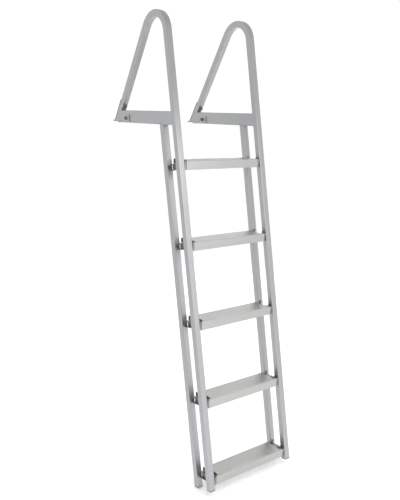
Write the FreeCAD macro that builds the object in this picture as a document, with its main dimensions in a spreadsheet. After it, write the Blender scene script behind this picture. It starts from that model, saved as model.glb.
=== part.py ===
import FreeCAD, Part
import math
import os
import re

import Sketcher

# Dock ladder with five treads and two looped grab handles.
# Frame of the part: +X runs across the ladder from its left side to its right side,
# +Y runs from the water towards the dock, +Z is up. The origin lies on the dock, in the
# middle of the underside of the left deck bracket. All lengths are millimetres and all
# angles are degrees.
SIZES = {
    # Square tube of the side frames
    "tube_side": 25.4,
    "tube_wall": 2.0,
    "tube_corner": 3.0,
    # Side frame
    "frame_spacing": 392.0,
    "lean_angle": 12.0,
    "leg_angle": 33.5,
    "reach": 464.0,
    "bend_radius": 84.0,
    "front_drop": 1402.0,
    "rear_drop": 1415.0,
    "rail_gap": 62.0,
    "bar_height": 50.8,
    "bar_wall": 2.0,
    # Treads
    "first_tread": 136.4,
    "tread_pitch": 304.8,
    "tread_depth": 78.0,
    "tread_height": 34.0,
    "tread_top": 2.5,
    "tread_lip": 2.0,
    "tread_corner": 2.5,
    "tread_end_gap": 3.5,
    "groove_width": 1.2,
    "groove_depth": 0.7,
    "groove_pitch": 6.0,
    "window_length": 20.0,
    "window_strip": 9.0,
    "end_plate_thick": 3.0,
    "end_plate_drop": 12.0,
    # Channel brackets between the rails
    "channel_thick": 3.0,
    "channel_depth": 12.0,
    "channel_height": 25.4,
    "channel_drop": 1.3,
    "channel_bolt_across": 55.0,
    # Deck brackets
    "plate_thick": 3.0,
    "plate_length": 160.0,
    "leg_offset": 46.0,
    "ear_thick": 3.0,
    "ear_clearance": 0.3,
    "ear_front": 74.0,
    "ear_length": 43.0,
    "ear_height": 27.0,
    "ear_corner": 6.0,
    "cross_bolt_front": 48.0,
    "cross_bolt_height": 12.0,
    "screw_hole": 7.0,
    "screw_edge": 10.0,
    "tab_corner": 12.0,
    # Back straps
    "strap_thick": 3.0,
    "strap_width": 25.4,
    "strap_foot_inset": 2.0,
    "strap_bend": 3.0,
    "strap_past_bolt": 14.0,
    "nut_clearance": 2.0,
    # Bolts and nuts
    "bolt_diameter": 8.0,
    "bolt_hole": 8.6,
    "head_width": 13.0,
    "head_height": 5.3,
    "nut_height": 6.5,
    "washer_diameter": 16.0,
    "washer_thick": 1.6,
    "thread_past_nut": 3.0,
    # End caps
    "cap_flange": 3.0,
    "cap_stub": 15.0,
    "cap_wall": 1.8,
    "cap_clearance": 0.1,
}
TREAD_COUNT = 5
GROOVE_COUNT = 11
SIDES = ("left", "right")

doc = FreeCAD.newDocument("DockLadder")
sheet = doc.addObject("Spreadsheet::Sheet", "Sizes")
for row, (name, amount) in enumerate(SIZES.items(), start=1):
    sheet.set("A%d" % row, name)
    sheet.set("B%d" % row, str(amount))
    sheet.setAlias("B%d" % row, name)
doc.recompute()


# Lines that several pieces share, as formulas on the sizes
LEAN = "(lean_angle * 1 deg)"
LEG = "(leg_angle * 1 deg)"
HALF_TUBE = "(tube_side / 2)"
RAIL_AT_BAR = "(leg_offset - reach)"
RAIL_STEP = "(rail_gap + tube_side)"
TREAD_LENGTH = "(frame_spacing - tube_side - 2 * tread_end_gap)"
HEX_RADIUS = "(head_width / sqrt(3))"
PLATE_WIDTH = "(tube_side + 2 * ear_clearance + 2 * ear_thick)"
SCREW_PLACE = "(plate_length / 2 - screw_edge)"
STRAP_FOOT_END = "(plate_length / 2 - strap_foot_inset)"
NUT_REACH = "(%s + washer_thick + nut_height)" % HALF_TUBE
STRAP_BOLT_HEIGHT = (
    "(bar_height + nut_clearance + %s * sin%s + head_width / 2 * cos%s)"
    % (NUT_REACH, LEG, LEG)
)
STRAP_TOP = (
    "(%s + (%s + strap_thick) * sin%s + strap_past_bolt * cos%s)"
    % (STRAP_BOLT_HEIGHT, HALF_TUBE, LEG, LEG)
)


def bound(formula):
    """The formula with each size written as a cell of the sheet."""
    return re.sub(r"\b(%s)\b" % "|".join(SIZES), r"Sizes.\1", formula)


def number(formula):
    """The value of a formula on the sizes."""
    result = sheet.evalExpression(bound(formula))
    return float(getattr(result, "Value", result))


def bind(thing, **formulas):
    """Tie properties of an object to formulas; a double underscore stands for a dot."""
    for path, formula in formulas.items():
        thing.setExpression(path.replace("__", "."), bound(formula))


def rail_offset(across, along):
    """Y and Z formulas of a way square to the rails, towards the dock, and then down them."""
    back = "((%s) * cos%s - (%s) * sin%s)" % (across, LEAN, along, LEAN)
    level = "(-(%s) * sin%s - (%s) * cos%s)" % (across, LEAN, along, LEAN)
    return back, level


def rail_point(across, along):
    """Y and Z formulas of a point on a side frame.

    across is measured square to the rails from the front rail's front face, and along is
    measured down the rails from the level of the deck bar's underside at that face.
    """
    back, level = rail_offset(across, along)
    front = "(%s - %s / cos%s)" % (RAIL_AT_BAR, HALF_TUBE, LEAN)
    return "(%s + %s)" % (front, back), "(plate_thick + %s)" % level


def leg_line(offset, height):
    """Y formula of a line parallel to the sloped leg at a height over the bracket's plate."""
    return "(leg_offset - (%s) * tan%s + (%s) / cos%s)" % (height, LEG, offset, LEG)


def strap_bolt_centre(offset):
    """A point of the strap bolt's axis, offset square to the leg from its centreline."""
    back = "(%s + (%s) * cos%s)" % (leg_line("0", STRAP_BOLT_HEIGHT), offset, LEG)
    level = "(plate_thick + %s + (%s) * sin%s)" % (STRAP_BOLT_HEIGHT, offset, LEG)
    return back, level


def origin_item(body, role):
    return next(item for item in body.Origin.OriginFeatures if item.Role == role)


def new_body(label):
    body = doc.addObject("PartDesign::Body", "Body_" + label)
    body.Label = label
    return body


def new_sketch(body, name, role, offset=None):
    """A sketch on an origin plane, or at an offset from it along its normal."""
    sketch = body.newObject("Sketcher::SketchObject", name)
    sketch.AttachmentSupport = [(origin_item(body, role), "")]
    sketch.MapMode = "FlatFace"
    if offset is not None:
        bind(sketch, AttachmentOffset__Base__z=offset)
    return sketch


def tilt_sketch(sketch, place, turn):
    """Move a sketch on the XY plane to a point and lean its normal from +Z towards +Y."""
    back, level = place
    sketch.AttachmentOffset = FreeCAD.Placement(
        FreeCAD.Vector(0, number(back), number(level)),
        FreeCAD.Rotation(FreeCAD.Vector(-1, 0, 0), number(turn)),
    )
    bind(
        sketch,
        AttachmentOffset__Base__y=back,
        AttachmentOffset__Base__z=level,
        AttachmentOffset__Rotation__Angle=turn,
    )


def fix_point(sketch, geometry, end, place):
    """Tie one end of a sketch's line to a pair of formulas."""
    for kind, formula in zip(("DistanceX", "DistanceY"), place):
        index = sketch.addConstraint(
            Sketcher.Constraint(kind, -1, 1, geometry, end, number(formula))
        )
        sketch.setExpression("Constraints[%d]" % index, bound(formula))


def draw_outline(sketch, corners):
    """A closed outline of straight lines through corners given as pairs of formulas."""
    points = [FreeCAD.Vector(number(first), number(second), 0) for first, second in corners]
    lines = [
        sketch.addGeometry(Part.LineSegment(start, end), False)
        for start, end in zip(points, points[1:] + points[:1])
    ]
    for line, following in zip(lines, lines[1:] + lines[:1]):
        sketch.addConstraint(Sketcher.Constraint("Coincident", line, 2, following, 1))
    for line, corner in zip(lines, corners):
        fix_point(sketch, line, 1, corner)


def draw_rectangle(sketch, low, high):
    """An upright rectangle between two corners given as pairs of formulas."""
    draw_outline(sketch, [low, (high[0], low[1]), high, (low[0], high[1])])


def draw_rail_rectangle(sketch, low, high):
    """A rectangle in line with the rails between two pairs of across and along."""
    corners = (low, (high[0], low[1]), high, (low[0], high[1]))
    draw_outline(sketch, [rail_offset(across, along) for across, along in corners])


def draw_circle(sketch, centre, diameter):
    place = FreeCAD.Vector(number(centre[0]), number(centre[1]), 0)
    circle = sketch.addGeometry(
        Part.Circle(place, FreeCAD.Vector(0, 0, 1), number(diameter) / 2), False
    )
    fix_point(sketch, circle, 3, centre)
    index = sketch.addConstraint(
        Sketcher.Constraint("Diameter", circle, number(diameter))
    )
    sketch.setExpression("Constraints[%d]" % index, bound(diameter))


def draw_rounded_square(sketch, side, corner):
    """A square about the sketch's origin whose corners are arcs."""
    half = number(side) / 2
    radius = number(corner)
    straight = half - radius
    lines = []
    arcs = []
    for quarter in range(4):
        turn = FreeCAD.Rotation(FreeCAD.Vector(0, 0, 1), 90 * quarter)
        start = turn.multVec(FreeCAD.Vector(-straight, -half, 0))
        end = turn.multVec(FreeCAD.Vector(straight, -half, 0))
        centre = turn.multVec(FreeCAD.Vector(straight, -straight, 0))
        circle = Part.Circle(centre, FreeCAD.Vector(0, 0, 1), radius)
        opening = math.radians(90 * quarter - 90)
        lines.append(sketch.addGeometry(Part.LineSegment(start, end), False))
        arcs.append(
            sketch.addGeometry(
                Part.ArcOfCircle(circle, opening, opening + math.pi / 2), False
            )
        )
    for quarter in range(4):
        line = lines[quarter]
        arc = arcs[quarter]
        following = lines[(quarter + 1) % 4]
        sketch.addConstraint(Sketcher.Constraint("Tangent", line, 2, arc, 1))
        sketch.addConstraint(Sketcher.Constraint("Tangent", arc, 2, following, 1))
        level = "Horizontal" if quarter % 2 == 0 else "Vertical"
        sketch.addConstraint(Sketcher.Constraint(level, line))
        kind = "DistanceY" if quarter % 2 == 0 else "DistanceX"
        sign = -1 if quarter in (0, 3) else 1
        index = sketch.addConstraint(
            Sketcher.Constraint(kind, -1, 1, line, 1, sign * half)
        )
        sketch.setExpression("Constraints[%d]" % index, bound("%d * %s / 2" % (sign, side)))
    for arc in arcs[1:]:
        sketch.addConstraint(Sketcher.Constraint("Equal", arcs[0], arc))
    index = sketch.addConstraint(Sketcher.Constraint("Radius", arcs[0], radius))
    sketch.setExpression("Constraints[%d]" % index, bound(corner))


def draw_square(sketch, side):
    """A square with sharp corners about the sketch's origin."""
    half = "(%s / 2)" % side
    draw_rectangle(sketch, ("-" + half, "-" + half), (half, half))


def draw_tube_section(sketch):
    """The tube's section: rounded corners outside and a square bore."""
    draw_rounded_square(sketch, "tube_side", "tube_corner")
    draw_square(sketch, "(tube_side - 2 * tube_wall)")


def pad(body, name, sketch, length, middle=False, reverse=False):
    feature = body.newObject("PartDesign::Pad", name)
    feature.Profile = sketch
    feature.Length = number(length)
    feature.Midplane = middle
    feature.Reversed = reverse
    bind(feature, Length=length)
    sketch.Visibility = False
    return feature


def pocket(body, name, sketch, length, middle=False, reverse=False):
    """Cut a sketch into a body and make sure that it took material away."""
    doc.recompute()
    before = body.Shape.Volume
    feature = body.newObject("PartDesign::Pocket", name)
    feature.Profile = sketch
    feature.Length = number(length)
    feature.Midplane = middle
    feature.Reversed = reverse
    bind(feature, Length=length)
    sketch.Visibility = False
    doc.recompute()
    if body.Shape.Volume >= before:
        raise RuntimeError(name + " cuts nothing")
    return feature


def long_edges(shape, test):
    """Names of the straight edges whose middle point and direction pass a test."""
    names = []
    for index, edge in enumerate(shape.Edges, start=1):
        if isinstance(edge.Curve, (Part.Line, Part.LineSegment)):
            start = edge.Vertexes[0].Point
            end = edge.Vertexes[-1].Point
            if test((start + end) * 0.5, (end - start).normalize()):
                names.append("Edge%d" % index)
    return names


def round_edges(body, name, base, radius, test):
    doc.recompute()
    feature = body.newObject("PartDesign::Fillet", name)
    feature.Base = (base, long_edges(base.Shape, test))
    feature.Radius = number(radius)
    bind(feature, Radius=radius)
    return feature


def shift_to_side(thing, side):
    """Carry a piece of the left frame over to the right frame where it belongs there."""
    if side == "right":
        bind(thing, Placement__Base__x="frame_spacing")


# Side tubes: front rail, bend over the deck and sloped leg in one length of tube
def make_side_tube(side):
    body = new_body(side + "_side_tube")
    rail_end = rail_point(HALF_TUBE, "front_drop")
    leg_end = (leg_line("0", "-tube_side"), "(plate_thick - tube_side)")

    path = new_sketch(body, side + "_tube_path", "YZ_Plane")
    start = FreeCAD.Vector(number(rail_end[0]), number(rail_end[1]), 0)
    end = FreeCAD.Vector(number(leg_end[0]), number(leg_end[1]), 0)
    up = FreeCAD.Vector(number("sin" + LEAN), number("cos" + LEAN), 0)
    down = FreeCAD.Vector(number("sin" + LEG), -number("cos" + LEG), 0)
    cross = up.x * down.y - up.y * down.x
    climb = ((end.x - start.x) * down.y - (end.y - start.y) * down.x) / cross
    apex = start + up * climb
    radius = number("bend_radius")
    setback = radius / math.tan(math.radians(number("lean_angle + leg_angle") / 2))
    bend_start = apex - up * setback
    bend_end = apex + down * setback
    centre = bend_start + FreeCAD.Vector(up.y, -up.x, 0) * radius
    circle = Part.Circle(centre, FreeCAD.Vector(0, 0, 1), radius)
    leg_side = math.radians(number("leg_angle"))
    rail_side = math.radians(number("180 - lean_angle"))
    rail = path.addGeometry(Part.LineSegment(start, bend_start), False)
    bend = path.addGeometry(Part.ArcOfCircle(circle, leg_side, rail_side), False)
    leg = path.addGeometry(Part.LineSegment(bend_end, end), False)
    path.addConstraint(Sketcher.Constraint("Tangent", rail, 2, bend, 2))
    path.addConstraint(Sketcher.Constraint("Tangent", bend, 1, leg, 1))
    fix_point(path, rail, 1, rail_end)
    fix_point(path, leg, 2, leg_end)
    for constraint, formula in (
        (Sketcher.Constraint("Angle", rail, math.radians(number("90 - lean_angle"))),
         "(90 - lean_angle) * 1 deg"),
        (Sketcher.Constraint("Angle", leg, math.radians(number("leg_angle - 90"))),
         "(leg_angle - 90) * 1 deg"),
        (Sketcher.Constraint("Radius", bend, radius), "bend_radius"),
    ):
        index = path.addConstraint(constraint)
        path.setExpression("Constraints[%d]" % index, bound(formula))

    section = new_sketch(body, side + "_tube_section", "XY_Plane")
    tilt_sketch(section, rail_end, LEAN)
    draw_tube_section(section)
    doc.recompute()
    tube = body.newObject("PartDesign::AdditivePipe", side + "_bent_tube")
    tube.Profile = section
    tube.Spine = (path, ["Edge1", "Edge2", "Edge3"])
    tube.Mode = "Binormal"
    tube.Binormal = FreeCAD.Vector(1, 0, 0)
    section.Visibility = False
    path.Visibility = False

    foot_cut = new_sketch(body, side + "_foot_cut", "YZ_Plane")
    draw_rectangle(
        foot_cut,
        ("(leg_offset - 2 * tube_side)", "(plate_thick - 2 * tube_side)"),
        ("(leg_offset + 2 * tube_side)", "plate_thick"),
    )
    pocket(body, side + "_foot_trim", foot_cut, "2 * tube_side", middle=True)

    hole = new_sketch(body, side + "_strap_hole", "XY_Plane")
    tilt_sketch(hole, strap_bolt_centre("0"), "(90 - leg_angle) * 1 deg")
    draw_circle(hole, ("0", "0"), "bolt_hole")
    pocket(body, side + "_strap_drill", hole, "2 * tube_side", middle=True)
    shift_to_side(body, side)


# Rear rails: straight tubes that hang from the deck bar, parallel to the front rails
def make_rear_rail(side):
    body = new_body(side + "_rear_rail")
    centre = "(%s + %s)" % (RAIL_STEP, HALF_TUBE)
    section = new_sketch(body, side + "_rail_section", "XY_Plane")
    tilt_sketch(section, rail_point(centre, "rear_drop"), LEAN)
    draw_tube_section(section)
    pad(
        body,
        side + "_rail_tube",
        section,
        "rear_drop + (%s + tube_side) * tan%s" % (centre, LEAN),
    )
    top_cut = new_sketch(body, side + "_top_cut", "YZ_Plane")
    low = rail_point(RAIL_STEP, "0")[0]
    draw_rectangle(
        top_cut,
        ("(%s - 2 * tube_side)" % low, "plate_thick"),
        ("(%s + 4 * tube_side)" % low, "(plate_thick + 4 * tube_side)"),
    )
    pocket(body, side + "_top_trim", top_cut, "2 * tube_side", middle=True)
    shift_to_side(body, side)


# Deck bars: flat rectangular tubes welded between the front rail and the sloped leg
def make_deck_bar(side):
    body = new_body(side + "_deck_bar")
    rail_back = "(%s + %s / cos%s)" % (RAIL_AT_BAR, HALF_TUBE, LEAN)
    rail_back_top = "(%s + bar_height * tan%s)" % (rail_back, LEAN)
    leg_front = leg_line("-" + HALF_TUBE, "0")
    leg_front_top = leg_line("-" + HALF_TUBE, "bar_height")
    bar_top = "(plate_thick + bar_height)"
    outline = new_sketch(body, side + "_bar_outline", "YZ_Plane")
    draw_outline(
        outline,
        [
            (rail_back, "plate_thick"),
            (leg_front, "plate_thick"),
            (leg_front_top, bar_top),
            (rail_back_top, bar_top),
        ],
    )
    block = pad(body, side + "_bar_block", outline, "tube_side", middle=True)
    round_edges(
        body,
        side + "_bar_rounding",
        block,
        "tube_corner",
        lambda middle, way: abs(way.y) > 0.99,
    )
    hollow = new_sketch(body, side + "_bar_hollow", "YZ_Plane")
    draw_rectangle(
        hollow,
        ("(%s - tube_side)" % rail_back, "(plate_thick + bar_wall)"),
        ("(%s + tube_side)" % leg_front, "(%s - bar_wall)" % bar_top),
    )
    pocket(body, side + "_bar_bore", hollow, "tube_side - 2 * bar_wall", middle=True)
    hole = new_sketch(body, side + "_cross_hole", "YZ_Plane")
    draw_circle(hole, ("-cross_bolt_front", "(plate_thick + cross_bolt_height)"), "bolt_hole")
    pocket(body, side + "_cross_drill", hole, "2 * tube_side", middle=True)
    shift_to_side(body, side)


# Treads: grooved planks with folded lips, an open window and an end plate at each end
def tread_place(index):
    return rail_point("0", "first_tread + %d * tread_pitch" % index)


def make_tread(index):
    label = "step_%d" % (index + 1)
    body = new_body(label)
    profile = new_sketch(body, label + "_profile", "YZ_Plane")
    inner_back = "(tread_depth - tread_lip)"
    draw_outline(
        profile,
        [
            ("0", "0"),
            ("0", "-tread_height"),
            ("tread_lip", "-tread_height"),
            ("tread_lip", "-tread_top"),
            (inner_back, "-tread_top"),
            (inner_back, "-tread_height"),
            ("tread_depth", "-tread_height"),
            ("tread_depth", "0"),
        ],
    )
    plank = pad(body, label + "_plank", profile, TREAD_LENGTH, middle=True)
    depth = number("tread_depth")
    round_edges(
        body,
        label + "_rounding",
        plank,
        "tread_corner",
        lambda middle, way: abs(way.x) > 0.99
        and abs(middle.z) < 1e-6
        and (middle.y < 1e-6 or middle.y > depth - 1e-6),
    )
    groove = new_sketch(body, label + "_groove", "YZ_Plane")
    first = "(tread_depth / 2 - groove_pitch * %d)" % (GROOVE_COUNT // 2)
    draw_rectangle(
        groove,
        ("(%s - groove_width / 2)" % first, "-groove_depth"),
        ("(%s + groove_width / 2)" % first, "groove_depth"),
    )
    cut = pocket(body, label + "_groove_cut", groove, "frame_spacing", middle=True)
    rows = body.newObject("PartDesign::LinearPattern", label + "_grooves")
    rows.Originals = [cut]
    rows.Direction = (origin_item(body, "Y_Axis"), [""])
    rows.Length = number("groove_pitch") * (GROOVE_COUNT - 1)
    rows.Occurrences = GROOVE_COUNT
    bind(rows, Length="groove_pitch * %d" % (GROOVE_COUNT - 1))
    body.Tip = rows
    doc.recompute()

    half = "(%s / 2)" % TREAD_LENGTH
    window = new_sketch(body, label + "_window", "XY_Plane")
    for sign in ("-", ""):
        inner = "(%s(%s - window_length))" % (sign, half)
        outer = "(%s(%s + window_length))" % (sign, half)
        draw_rectangle(
            window,
            (inner, "window_strip"),
            (outer, "(tread_depth - window_strip)"),
        )
    pocket(body, label + "_windows", window, "2 * tread_top", middle=True)

    plate = new_sketch(body, label + "_end_plate", "YZ_Plane", "-" + half)
    draw_rectangle(
        plate,
        ("tread_lip", "-tread_height"),
        (inner_back, "-end_plate_drop"),
    )
    draw_circle(plate, channel_bolt_spot(), "bolt_hole")
    end = pad(body, label + "_left_end", plate, "end_plate_thick")
    pair = body.newObject("PartDesign::Mirrored", label + "_both_ends")
    pair.Originals = [end]
    pair.MirrorPlane = (origin_item(body, "YZ_Plane"), [""])
    body.Tip = pair
    back, level = tread_place(index)
    bind(
        body,
        Placement__Base__x="frame_spacing / 2",
        Placement__Base__y=back,
        Placement__Base__z=level,
    )


def channel_bolt_spot():
    """Where the bolt goes through channel and end plate, from the tread's front top edge."""
    return rail_offset("channel_bolt_across", "channel_drop + channel_height / 2")


# Channel brackets: short channels between the rails and square to them, open to the
# outside, that the treads are bolted to
def make_channel(side, index):
    label = "%s_step_bracket_%d" % (side, index + 1)
    outward = 1 if side == "right" else -1
    body = new_body(label)
    top = "channel_drop"
    bottom = "(channel_drop + channel_height)"
    outline = new_sketch(body, label + "_outline", "YZ_Plane")
    draw_rail_rectangle(outline, ("tube_side", top), (RAIL_STEP, bottom))
    pad(body, label + "_block", outline, "channel_depth", reverse=outward < 0)
    web_face = "%d * channel_thick" % outward
    inside = new_sketch(body, label + "_inside", "YZ_Plane", web_face)
    draw_rail_rectangle(
        inside,
        ("0", "(%s + channel_thick)" % top),
        ("(%s + tube_side)" % RAIL_STEP, "(%s - channel_thick)" % bottom),
    )
    pocket(body, label + "_hollow", inside, "channel_depth", reverse=outward > 0)
    hole = new_sketch(body, label + "_hole", "YZ_Plane")
    draw_circle(hole, channel_bolt_spot(), "bolt_hole")
    pocket(body, label + "_drill", hole, "4 * channel_thick", middle=True)
    back_edge, level = tread_place(index)
    bind(
        body,
        Placement__Base__x=tread_end(side),
        Placement__Base__y=back_edge,
        Placement__Base__z=level,
    )


def tread_end(side):
    """X formula of the face where a tread's end plate meets its channel bracket."""
    inset = "(%s + tread_end_gap)" % HALF_TUBE
    return inset if side == "left" else "(frame_spacing - %s)" % inset


# Bolts: hexagon bolt and nut on a grip of a given thickness, with or without washers
def make_bolt(label, grip, place, axis, angle, washer="0"):
    """Stand a bolt's seat of the head at a place, its shank turned from +Z about an axis."""
    pieces = []

    def add(kind, name, low, tall, **sizes):
        piece = doc.addObject(kind, "%s_%s" % (label, name))
        bind(piece, Height=tall, Placement__Base__z=low, **sizes)
        pieces.append(piece)
        return piece

    nut_seat = "(%s + %s)" % (grip, washer)
    shank_end = "(%s + nut_height + thread_past_nut)" % nut_seat
    head = "-(%s + head_height)" % washer
    add("Part::Prism", "head", head, "head_height", Circumradius=HEX_RADIUS).Polygon = 6
    add("Part::Cylinder", "shank", "-%s" % washer, "%s + %s" % (washer, shank_end),
        Radius="bolt_diameter / 2")
    add("Part::Prism", "nut", nut_seat, "nut_height", Circumradius=HEX_RADIUS).Polygon = 6
    if number(washer) > 0:
        for end, low in (("head", "-%s" % washer), ("nut", grip)):
            add("Part::Cylinder", end + "_washer", low, washer, Radius="washer_diameter / 2")
    bolt = doc.addObject("Part::MultiFuse", "Bolt_" + label)
    bolt.Shapes = pieces
    bolt.Refine = True
    bolt.Label = label
    bolt.Placement.Rotation = FreeCAD.Rotation(FreeCAD.Vector(*axis), number(angle))
    bind(
        bolt,
        Placement__Base__x=place[0],
        Placement__Base__y=place[1],
        Placement__Base__z=place[2],
        Placement__Rotation__Angle=angle,
    )


def make_tread_bolt(side, index):
    """A bolt along X, its head in the channel and its nut inside the tread."""
    inward = 1 if side == "left" else -1
    back_edge, level = tread_place(index)
    across, down = channel_bolt_spot()
    make_bolt(
        "%s_step_bolt_%d" % (side, index + 1),
        "(channel_thick + end_plate_thick)",
        (
            "%s - %d * channel_thick" % (tread_end(side), inward),
            "%s + %s" % (back_edge, across),
            "%s + %s" % (level, down),
        ),
        (0, inward, 0),
        "90 deg",
    )


def make_cross_bolt(side):
    """A bolt along X through the deck bracket's ears and the deck bar."""
    inward = 1 if side == "left" else -1
    half_grip = "(%s + ear_clearance + ear_thick)" % HALF_TUBE
    middle = "0" if side == "left" else "frame_spacing"
    make_bolt(
        side + "_cross_bolt",
        "(2 * %s)" % half_grip,
        (
            "%s - %d * %s" % (middle, inward, half_grip),
            "-cross_bolt_front",
            "plate_thick + cross_bolt_height",
        ),
        (0, inward, 0),
        "90 deg",
        "washer_thick",
    )


def make_strap_bolt(side):
    """A bolt square to the sloped leg, its head on the back strap."""
    back, level = strap_bolt_centre("%s + strap_thick" % HALF_TUBE)
    make_bolt(
        side + "_strap_bolt",
        "(tube_side + strap_thick)",
        ("0" if side == "left" else "frame_spacing", back, level),
        (1, 0, 0),
        "(90 + leg_angle) * 1 deg",
        "washer_thick",
    )


# End caps: plugs that close the lower ends of the rails
def make_end_cap(side, rail):
    body = new_body("%s_%s_end_cap" % (side, rail))
    label = body.Label
    flange = new_sketch(body, label + "_flange_outline", "XY_Plane")
    draw_rounded_square(flange, "tube_side", "tube_corner")
    pad(body, label + "_flange", flange, "cap_flange", reverse=True)
    stub = new_sketch(body, label + "_stub_outline", "XY_Plane")
    stub_side = "(tube_side - 2 * tube_wall - 2 * cap_clearance)"
    draw_square(stub, stub_side)
    draw_square(stub, "(%s - 2 * cap_wall)" % stub_side)
    pad(body, label + "_stub", stub, "cap_stub")
    across = HALF_TUBE if rail == "front" else "(%s + %s)" % (RAIL_STEP, HALF_TUBE)
    back, level = rail_point(across, rail + "_drop")
    body.Placement.Rotation = FreeCAD.Rotation(FreeCAD.Vector(-1, 0, 0), number(LEAN))
    bind(
        body,
        Placement__Base__y=back,
        Placement__Base__z=level,
        Placement__Rotation__Angle=LEAN,
    )
    shift_to_side(body, side)


# Deck brackets: plates on the dock with two ears that hold the deck bar
def make_deck_bracket(side):
    label = side + "_deck_bracket"
    body = new_body(label)
    half_width = "(%s / 2)" % PLATE_WIDTH
    outline = new_sketch(body, label + "_outline", "XY_Plane")
    draw_rectangle(
        outline,
        ("-" + half_width, "-plate_length / 2"),
        (half_width, "plate_length / 2"),
    )
    plate = pad(body, label + "_plate", outline, "plate_thick")
    round_edges(
        body,
        label + "_tab",
        plate,
        "tab_corner",
        lambda middle, way: abs(way.z) > 0.99 and middle.y > 0,
    )
    ears = new_sketch(body, label + "_ears_outline", "YZ_Plane")
    ear_top = "(plate_thick + ear_height)"
    draw_rectangle(ears, ("-ear_front", "0"), ("(ear_length - ear_front)", ear_top))
    block = pad(body, label + "_ears", ears, PLATE_WIDTH, middle=True)
    tall = number(ear_top)
    round_edges(
        body,
        label + "_ear_corners",
        block,
        "ear_corner",
        lambda middle, way: abs(way.x) > 0.99 and abs(middle.z - tall) < 1e-6,
    )
    slot = new_sketch(body, label + "_slot", "YZ_Plane")
    draw_rectangle(
        slot,
        ("-(ear_front + tube_side)", "plate_thick"),
        ("(ear_length - ear_front + tube_side)", "(%s + tube_side)" % ear_top),
    )
    pocket(body, label + "_slot_cut", slot, "tube_side + 2 * ear_clearance", middle=True)
    cross = new_sketch(body, label + "_cross_hole", "YZ_Plane")
    draw_circle(cross, ("-cross_bolt_front", "(plate_thick + cross_bolt_height)"), "bolt_hole")
    pocket(body, label + "_cross_drill", cross, "2 * %s" % PLATE_WIDTH, middle=True)
    screws = new_sketch(body, label + "_screw_holes", "XY_Plane")
    for sign in ("-", ""):
        draw_circle(screws, ("0", sign + SCREW_PLACE), "screw_hole")
    pocket(body, label + "_screw_drill", screws, "4 * plate_thick", middle=True)
    shift_to_side(body, side)


# Back straps: bent flat bars that hold the sloped leg down to the deck bracket's tab
def make_back_strap(side):
    label = side + "_back_strap"
    body = new_body(label)
    profile = new_sketch(body, label + "_profile", "YZ_Plane")
    inside = HALF_TUBE
    outside = "(%s + strap_thick)" % HALF_TUBE
    foot_top = "(plate_thick + strap_thick)"
    inside_top = "(%s - strap_thick * sin%s)" % (STRAP_TOP, LEG)
    draw_outline(
        profile,
        [
            (leg_line(inside, "0"), "plate_thick"),
            (STRAP_FOOT_END, "plate_thick"),
            (STRAP_FOOT_END, foot_top),
            (leg_line(outside, "strap_thick"), foot_top),
            (leg_line(outside, STRAP_TOP), "(plate_thick + %s)" % STRAP_TOP),
            (leg_line(inside, inside_top), "(plate_thick + %s)" % inside_top),
        ],
    )
    bend = pad(body, label + "_bar", profile, "strap_width", middle=True)
    for part, line, height, radius in (
        ("heel", inside, "0", "(strap_bend + strap_thick)"),
        ("bend", outside, "strap_thick", "strap_bend"),
    ):
        corner = FreeCAD.Vector(
            0, number(leg_line(line, height)), number("plate_thick + " + height)
        )
        bend = round_edges(
            body,
            "%s_%s" % (label, part),
            bend,
            radius,
            lambda middle, way: abs(way.x) > 0.99 and (middle - corner).Length < 1e-3,
        )
    hole = new_sketch(body, label + "_screw_hole", "XY_Plane")
    draw_circle(hole, ("0", SCREW_PLACE), "screw_hole")
    pocket(
        body, label + "_screw_drill", hole, "2 * (plate_thick + strap_thick)", middle=True
    )
    bolt_hole = new_sketch(body, label + "_bolt_hole", "XY_Plane")
    tilt_sketch(bolt_hole, strap_bolt_centre(HALF_TUBE), "(90 - leg_angle) * 1 deg")
    draw_circle(bolt_hole, ("0", "0"), "bolt_hole")
    pocket(body, label + "_bolt_drill", bolt_hole, "4 * strap_thick", middle=True)
    shift_to_side(body, side)


for side in SIDES:
    make_side_tube(side)
    make_rear_rail(side)
    make_deck_bar(side)
    make_deck_bracket(side)
    make_back_strap(side)
    make_cross_bolt(side)
    make_strap_bolt(side)
    for rail in ("front", "rear"):
        make_end_cap(side, rail)
    for index in range(TREAD_COUNT):
        make_channel(side, index)
        make_tread_bolt(side, index)
for index in range(TREAD_COUNT):
    make_tread(index)
doc.recompute()

failed = [
    item.Name for item in doc.Objects if "Invalid" in item.State or "Error" in item.State
]
if failed:
    raise RuntimeError("these objects failed: " + ", ".join(failed))
pieces = [
    item
    for item in doc.Objects
    if item.TypeId == "PartDesign::Body" or item.TypeId == "Part::MultiFuse"
]
for piece in pieces:
    if piece.Shape.isNull() or not piece.Shape.isValid():
        raise RuntimeError(piece.Label + " has no valid shape")

os.makedirs("parts", exist_ok=True)
for piece in pieces:
    piece.Shape.exportStep("parts/%s.step" % piece.Label)
    box = piece.Shape.BoundBox
    print(
        "%-24s %2d solid  %9.0f mm3  x %7.1f..%7.1f  y %7.1f..%7.1f  z %8.1f..%7.1f"
        % (piece.Label, len(piece.Shape.Solids), piece.Shape.Volume,
           box.XMin, box.XMax, box.YMin, box.YMax, box.ZMin, box.ZMax)
    )
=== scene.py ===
# %% [markdown]
# # A dock ladder, dressed for its picture
#
# The ladder comes in as a fixed frame of closed solids: two side frames of square tube, five
# grooved steps, and the brackets and bolts that hold them. The solids already have their
# real sizes. This lesson gives them what a camera sees: drawn aluminium with faint die
# lines, rippled welds, real bolts, and a quiet studio round them.

# %% Load the frame
import math

import bmesh
import bpy
from mathutils import Matrix, Vector


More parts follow.
